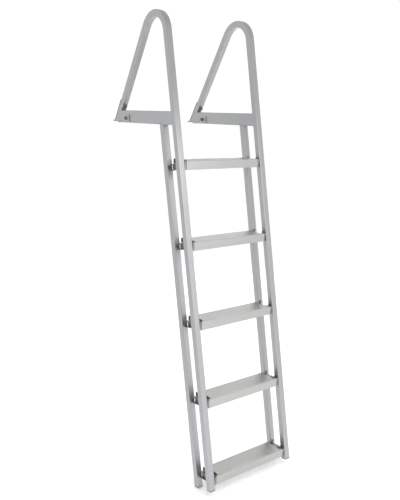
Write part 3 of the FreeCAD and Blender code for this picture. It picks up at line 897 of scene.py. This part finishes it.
# %% The rule for bolts
HEX_FLATS = 0.013
HEAD_HEIGHT = 0.0053
NUT_HEIGHT = 0.0065
BOLT = 0.008
WASHER = 0.016
WASHER_THICK = 0.0016
BOLT_HOLE = 0.0086
PAST_NUT = 0.003
STEP_GRIP = 0.006
THREAD_PITCH = 0.00125
THREAD_DEPTH = 0.0006
HEX_POINTS = 60
CONE = math.tan(math.radians(30))
SIXTH = math.pi / 3
CHAMFER_CIRCLE = 0.96
NO_WASHER = 0.0001
WASHER_CORNER = 0.0003
WASHER_POINTS = 48
SHANK_POINTS = 32
THREAD_POINTS = 28
BOLT_CREASE = 28.0

bolt_bench, bolt = new_rule("Bolts", {"Grip": STEP_GRIP, "Washer": 0.0})


def move_points(bench, shape, x, y, z):
    spot = bench.node("ShaderNodeCombineXYZ", {}, {"X": x, "Y": y, "Z": z})
    return bench.node("GeometryNodeSetPosition", {}, {"Geometry": shape, "Position": spot})


def hexagon(bench, low, tall, chamfered_top):
    """A hexagonal prism from a height upwards, with a chamfer at its top or bottom.

    The cylinder has four rings of points, at -1/2, -1/6, 1/6 and 1/2 of its height.
    """
    rings = bench.node("GeometryNodeMeshCylinder", {"fill_type": "NGON"}, {
        "Vertices": HEX_POINTS, "Side Segments": 3, "Radius": 1.0, "Depth": 1.0})
    corner = bench.node("ShaderNodeSeparateXYZ", {}, {0: bench.node("GeometryNodeInputPosition")})
    x, y, z = (corner.other(axis) for axis in "XYZ")
    angle = x.math("ARCTAN2", y, x) + 2 * math.pi
    folded = angle.math("ABSOLUTE", angle.math("MODULO", angle, SIXTH) - SIXTH / 2)
    hexed = HEX_FLATS / 2 / angle.math("COSINE", folded)
    circle = HEX_FLATS / 2 * CHAMFER_CIRCLE
    top = z > 1 / 3
    upper = z > 0.0
    radius = hexed + top * (circle - hexed)
    drop = upper * (radius - circle) * CONE
    height = (z + 0.5) * (1.0 - upper) + upper
    rise = height * tall - drop
    level = low + rise if chamfered_top else (low + tall) - rise
    if not chamfered_top:
        rings = bench.node("GeometryNodeFlipFaces", {}, {"Mesh": rings})
    return move_points(bench, rings, x * radius, y * radius, level)


def washer(bench, low, thick):
    """A ring with rounded edges, carried round a circle; nothing if it has no thickness."""
    inner = BOLT_HOLE / 2
    outer = WASHER / 2
    circle = bench.node("GeometryNodeCurvePrimitiveCircle", {"mode": "RADIUS"}, {
        "Resolution": WASHER_POINTS, "Radius": (inner + outer) / 2}, "Curve")
    bar = bench.node("GeometryNodeCurvePrimitiveQuadrilateral", {}, {
        "Width": outer - inner, "Height": thick})
    bar = rounded(bench, bar, 3, WASHER_CORNER)
    ring = bench.node("GeometryNodeCurveToMesh", {}, {"Curve": circle, "Profile Curve": bar})
    lift = bench.node("ShaderNodeCombineXYZ", {}, {"Z": low + thick / 2})
    ring = bench.node("GeometryNodeSetPosition", {}, {"Geometry": ring, "Offset": lift})
    return bench.node("GeometryNodeSwitch", {"input_type": "GEOMETRY"}, {
        "Switch": thick > NO_WASHER, "True": ring})


def shank(bench, low, high):
    """The bolt's core and the thread that winds up it."""
    tall = high - low
    core = bench.node("GeometryNodeMeshCylinder", {"fill_type": "NGON"}, {
        "Vertices": SHANK_POINTS, "Radius": BOLT / 2 - THREAD_DEPTH, "Depth": tall})
    centre = bench.node("ShaderNodeCombineXYZ", {}, {"Z": (low + high) / 2})
    core = bench.node("GeometryNodeSetPosition", {}, {"Geometry": core, "Offset": centre})
    spiral = bench.node("GeometryNodeCurveSpiral", {}, {
        "Resolution": THREAD_POINTS, "Rotations": (tall - THREAD_PITCH) / THREAD_PITCH,
        "Start Radius": BOLT / 2 - THREAD_DEPTH, "End Radius": BOLT / 2 - THREAD_DEPTH,
        "Height": tall - THREAD_PITCH})
    ridge = bench.node("GeometryNodeCurvePrimitiveCircle", {"mode": "RADIUS"}, {
        "Resolution": 4, "Radius": THREAD_DEPTH}, "Curve")
    thread = bench.node("GeometryNodeCurveToMesh", {}, {
        "Curve": spiral, "Profile Curve": ridge, "Fill Caps": True})
    lift = bench.node("ShaderNodeCombineXYZ", {}, {"Z": low + THREAD_PITCH / 2})
    thread = bench.node("GeometryNodeSetPosition", {}, {"Geometry": thread, "Offset": lift})
    return core, thread


grip = bolt["Grip"]
packing = bolt["Washer"]
nut_seat = grip + packing
end_of_bolt = nut_seat + NUT_HEIGHT + PAST_NUT
parts = [
    hexagon(bolt_bench, -1.0 * (packing + HEAD_HEIGHT), HEAD_HEIGHT, False),
    hexagon(bolt_bench, nut_seat, NUT_HEIGHT, True),
    washer(bolt_bench, -1.0 * packing, packing),
    washer(bolt_bench, grip, packing),
    *shank(bolt_bench, -1.0 * packing, end_of_bolt),
]
one_bolt = bolt_bench.node("GeometryNodeJoinGeometry")
for part in parts:
    bolt_bench.tree.links.new(part.socket, one_bolt.socket.node.inputs[0])
axis = bolt_bench.node(
    "GeometryNodeInputNamedAttribute", {"data_type": "FLOAT_VECTOR"}, {"Name": "axis"})
turn = bolt_bench.node("FunctionNodeAlignRotationToVector", {"axis": "Z"}, {"Vector": axis})
points = bolt_bench.node("GeometryNodeMeshToPoints", {}, {"Mesh": bolt["Geometry"]})
stood = bolt_bench.node("GeometryNodeInstanceOnPoints", {}, {
    "Points": points, "Instance": one_bolt, "Rotation": turn})
close_rule(bolt_bench, stood, steel_finish)
print("rule:", bolt_bench.tree.name, len(bolt_bench.tree.nodes), "nodes")

# %% [markdown]
# Each bolt's place comes from the frame or from the side frame's lines, and its axis points
# from the head to the nut: the steps' bolts and the brackets' bolts run inwards, level, and
# the strap's bolt runs square to the leg, from the dock side.

# %% Bolts in their places
NUT_CLEARANCE = 0.002
EAR_CLEARANCE = 0.0003
EAR_GRIP = TUBE + 2 * EAR_CLEARANCE + 2 * PLATE
STRAP_GRIP = TUBE + STRAP


def set_bolts(name, seats, nodes, **sizes):
    """Bolts at seats: each gives where the head rests and which way the shank points."""
    mesh = bpy.data.meshes.new(name)
    mesh.from_pydata([seat for seat, way in seats], [], [])
    ways = mesh.attributes.new("axis", "FLOAT_VECTOR", "POINT")
    for spot, (seat, way) in zip(ways.data, seats):
        spot.vector = way
    bolts = follow_rule(name, mesh, bolt_bench, **sizes)
    smooth(bolts, BOLT_CREASE)
    ready(bolts, "bolt_steel", *nodes)


def level_seat(side, node, packing):
    """Where a level bolt's head rests, from the box of the frame's bolt."""
    low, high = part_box(node)
    seat = Vector((
        outer_x(side, node) + INWARD[side] * (packing + HEAD_HEIGHT),
        (low[1] + high[1]) / 2,
        (low[2] + high[2]) / 2,
    ))
    return seat, Vector((INWARD[side], 0, 0))


for side in SIDES:
    nodes = ["%s_step_bolt_%d" % (side, number) for number in STEPS]
    set_bolts(side + "_step_bolts", [level_seat(side, node, 0) for node in nodes], nodes,
              grip=STEP_GRIP, washer=0.0)
    node = side + "_cross_bolt"
    set_bolts(side + "_bracket_bolt", [level_seat(side, node, WASHER_THICK)], [node],
              grip=EAR_GRIP, washer=WASHER_THICK)
    nut_reach = TUBE / 2 + WASHER_THICK + NUT_HEIGHT
    nut_rise = nut_reach * math.sin(LEG) + HEX_FLATS / 2 * math.cos(LEG)
    height = BAR_HEIGHT + NUT_CLEARANCE + nut_rise
    set_bolts(side + "_leg_bolt", [(leg_point(side, TUBE / 2 + STRAP, height), -LEG_BACK)],
              [side + "_strap_bolt"], grip=STRAP_GRIP, washer=WASHER_THICK)

# %% [markdown]
# ## Welds
#
# The rails, bars and channels are joined with a torch that is fed in small dips, and each dip
# leaves a ripple. One way is a row of flattened beads, thousands of them. A lighter way is
# used here: a round bead is carried along the joint, and its radius swells and sinks once
# for each dip, with a little unevenness from noise with a fixed seed, since no hand keeps
# perfect time.

# %% The rule for welds
WANDER_SCALE = 180.0
BEAT_WANDER = 1.5
BEAD_LEAST = 0.80
BEAD_SWELL = 0.22
POINTS_PER_DIP = 4
ROD_POINTS = 10

weld_bench, weld = new_rule("Weld bead", {
    "Radius": 0.0021, "Dip": 0.0015, "Unevenness": 0.25, "Corner": CORNER, "Seed": 7.0,
})
joint = weld_bench.node("GeometryNodeMeshToCurve", {}, {0: weld["Geometry"]})
joint = rounded(weld_bench, joint, 4, weld["Corner"])
joint = weld_bench.node("GeometryNodeResampleCurve", {"mode": "LENGTH"}, {
    "Curve": joint, "Length": weld["Dip"] / POINTS_PER_DIP})
way = weld_bench.node("GeometryNodeSplineParameter").other("Length")
wander = weld_bench.node("ShaderNodeTexNoise", {"noise_dimensions": "4D"}, {
    "W": weld["Seed"], "Scale": WANDER_SCALE, "Detail": 1.0})
beat = way / weld["Dip"] + wander * BEAT_WANDER
swell = beat.math("ABSOLUTE", beat.math("SINE", beat * math.pi))
steadiness = 1.0 + (wander - 0.5) * weld["Unevenness"]
bead = (BEAD_LEAST + swell * BEAD_SWELL) * steadiness
joint = weld_bench.node("GeometryNodeSetCurveRadius", {}, {"Curve": joint, "Radius": bead})
rod = weld_bench.node("GeometryNodeCurvePrimitiveCircle", {"mode": "RADIUS"}, {
    "Resolution": ROD_POINTS, "Radius": weld["Radius"]}, "Curve")
bead_skin = weld_bench.node("GeometryNodeCurveToMesh", {}, {
    "Curve": joint, "Profile Curve": rod, "Scale": bead, "Fill Caps": True})
close_rule(weld_bench, bead_skin, weld_finish)
print("rule:", weld_bench.tree.name, len(weld_bench.tree.nodes), "nodes")

# %% [markdown]
# Three joints on each side frame are welded all round: the flat bar to the front rail and to
# the leg, and the rear rail to the bar. The beads lie a little below the tubes' faces, so
# that only their crowns stand out. Each channel has short beads where its flanges meet the
# rails.

# %% Welds in their places
SUNK = 0.0013
TACK_RADIUS = 0.0014
TACK_INSET = 0.001
BEAD_CREASE = 60.0
CHANNEL_HEIGHT = 0.0254
CHANNEL_DROP = 0.0013


def weld_ring(centre, slope, half_height):
    """Four corners of a ring as wide as a tube, half its height to each side of its centre."""
    wide = Vector((TUBE / 2 - SUNK, 0, 0))
    tall = slope.normalized() * (half_height - SUNK)
    return [centre + wide * sx + tall * sy for sx, sy in ((-1, -1), (1, -1), (1, 1), (-1, 1))]


for side in SIDES:
    half_rail_end = BAR_HEIGHT / 2 / math.cos(LEAN)
    half_leg_end = BAR_HEIGHT / 2 / math.cos(LEG)
    bar_end = rail_point(side, TUBE, 0) - RAIL_DOWN * half_rail_end
    leg_end = leg_point(side, -TUBE / 2, 0) - LEG_DOWN * half_leg_end
    rail_top = rail_point(side, REAR_CENTRE, 0)
    rail_top = rail_top + RAIL_DOWN * ((rail_top.z - PLATE) / math.cos(LEAN))
    runs = [
        (weld_ring(bar_end, RAIL_DOWN, half_rail_end), True),
        (weld_ring(leg_end, LEG_DOWN, half_leg_end), True),
        (weld_ring(rail_top, Vector((0, 1, 0)), TUBE / 2 / math.cos(LEAN)), True),
    ]
    joints = follow_rule(side + "_welds", edge_mesh(side + "_welds", runs), weld_bench)
    smooth(joints, BEAD_CREASE)
    ready(joints, "frame_aluminium")

    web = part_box(side + "_step_bracket_1")
    ends = (web[0][0] + TACK_INSET, web[1][0] - TACK_INSET)
    runs = []
    for number in STEPS:
        low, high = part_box("step_%d" % number)
        front = Vector((0, low[1], high[2]))
        for across in (TUBE, TUBE + RAIL_GAP):
            for along in (CHANNEL_DROP, CHANNEL_DROP + CHANNEL_HEIGHT):
                spot = front + RAIL_ACROSS * across + RAIL_DOWN * along
                runs.append(([spot + Vector((x, 0, 0)) for x in ends], False))
    tacks = follow_rule(
        side + "_channel_welds", edge_mesh(side + "_channel_welds", runs), weld_bench,
        radius=TACK_RADIUS)
    smooth(tacks, BEAD_CREASE)
    ready(tacks, "frame_aluminium")

# %% [markdown]
# ## Studio
#
# The studio is plain and white. A pale floor lies under the lowest plug and glows a little,
# so that it stays white, and a white world carries on behind it, a little darker overhead.
# Lamps all round would light any shape, but bright metal shows whatever stands round it. So
# there are three, each placed by what a face mirrors towards the camera: the rails' front
# faces mirror a soft lamp in front, to the right, and the steps' fronts and the undersides
# of the handles mirror the floor there, which a second lamp brightens. The steps' tops
# mirror what lies behind the ladder, to the right, where the third lamp stands. Each lamp's
# place is given from the middle of the ladder.

# %% Floor and light
FLOOR_SIZE = 400.0
FLOOR_GREY = 0.97
FLOOR_ROUGHNESS = 0.85
WORLD_LIGHT = 1.04
HORIZON_BAND = 0.17
OVERHEAD = 0.72
FLOOR_GLOW = 0.19
FRONT_LAMP = 4.8
FRONT_LAMP_SIZE = 1.2
FRONT_LAMP_PLACE = Vector((0.85, -2.80, 0.05))
FLOOR_LAMP = 15.0
FLOOR_LAMP_SIZE = 1.2
FLOOR_LAMP_PLACE = Vector((-0.20, -1.40, 0.70))
BACK_LAMP = 12.0
BACK_LAMP_SIZE = 2.2
BACK_LAMP_PLACE = Vector((2.10, 1.90, 0.50))

bpy.context.scene.view_settings.view_transform = "Standard"
lowest = cad_box[0][2]
half = FLOOR_SIZE / 2
floor_mesh = bpy.data.meshes.new("floor")
floor_mesh.from_pydata(
    [(x * half, y * half, lowest) for x, y in ((-1, -1), (1, -1), (1, 1), (-1, 1))],
    [], [(0, 1, 2, 3)])
floor_finish, _, floor_shader = new_finish("pale_floor", 0.0, FLOOR_ROUGHNESS)
floor_shader.inputs["Base Color"].default_value = (FLOOR_GREY, FLOOR_GREY, FLOOR_GREY, 1)
floor_shader.inputs["Emission Color"].default_value = (1, 1, 1, 1)
floor_shader.inputs["Emission Strength"].default_value = FLOOR_GLOW
floor_mesh.materials.append(floor_finish)
floor = link_object("floor", floor_mesh)

world = bpy.data.worlds.new("studio")
bpy.context.scene.world = world
world.use_nodes = True
sky = world.node_tree.nodes["Background"]
sky.inputs["Strength"].default_value = WORLD_LIGHT
sky_bench = Bench(world.node_tree)
way_up = sky_bench.node("ShaderNodeSeparateXYZ", {}, {
    0: sky_bench.node("ShaderNodeTexCoord", {}, {}, "Generated")}).other("Z")
fade = sky_bench.node(
    "ShaderNodeValToRGB", {"stops": ((HORIZON_BAND, 1.0), (1.0, OVERHEAD))}, {0: way_up})
sky_bench.tree.links.new(fade.socket, sky.inputs["Color"])

middle_of_ladder = Vector((
    (cad_box[0][0] + cad_box[1][0]) / 2,
    (cad_box[0][1] + cad_box[1][1]) / 2,
    (cad_box[0][2] + cad_box[1][2]) / 2,
))


def soft_lamp(name, spot, target, size, power):
    """A square lamp at a spot that looks at a target."""
    data = bpy.data.lights.new(name, "AREA")
    data.size = size
    data.energy = power
    lamp = bpy.data.objects.new(name, data)
    turn = (spot - target).to_track_quat("Z", "Y").to_matrix().to_4x4()
    lamp.matrix_world = Matrix.Translation(spot) @ turn
    lamp.visible_camera = False
    bpy.context.scene.collection.objects.link(lamp)


soft_lamp("front_lamp", middle_of_ladder + FRONT_LAMP_PLACE, middle_of_ladder,
          FRONT_LAMP_SIZE, FRONT_LAMP)
over_floor = middle_of_ladder + FLOOR_LAMP_PLACE
soft_lamp("floor_lamp", over_floor, over_floor - UP, FLOOR_LAMP_SIZE, FLOOR_LAMP)
soft_lamp("back_lamp", middle_of_ladder + BACK_LAMP_PLACE, middle_of_ladder,
          BACK_LAMP_SIZE, BACK_LAMP)
print("floor at z %.4f" % lowest)
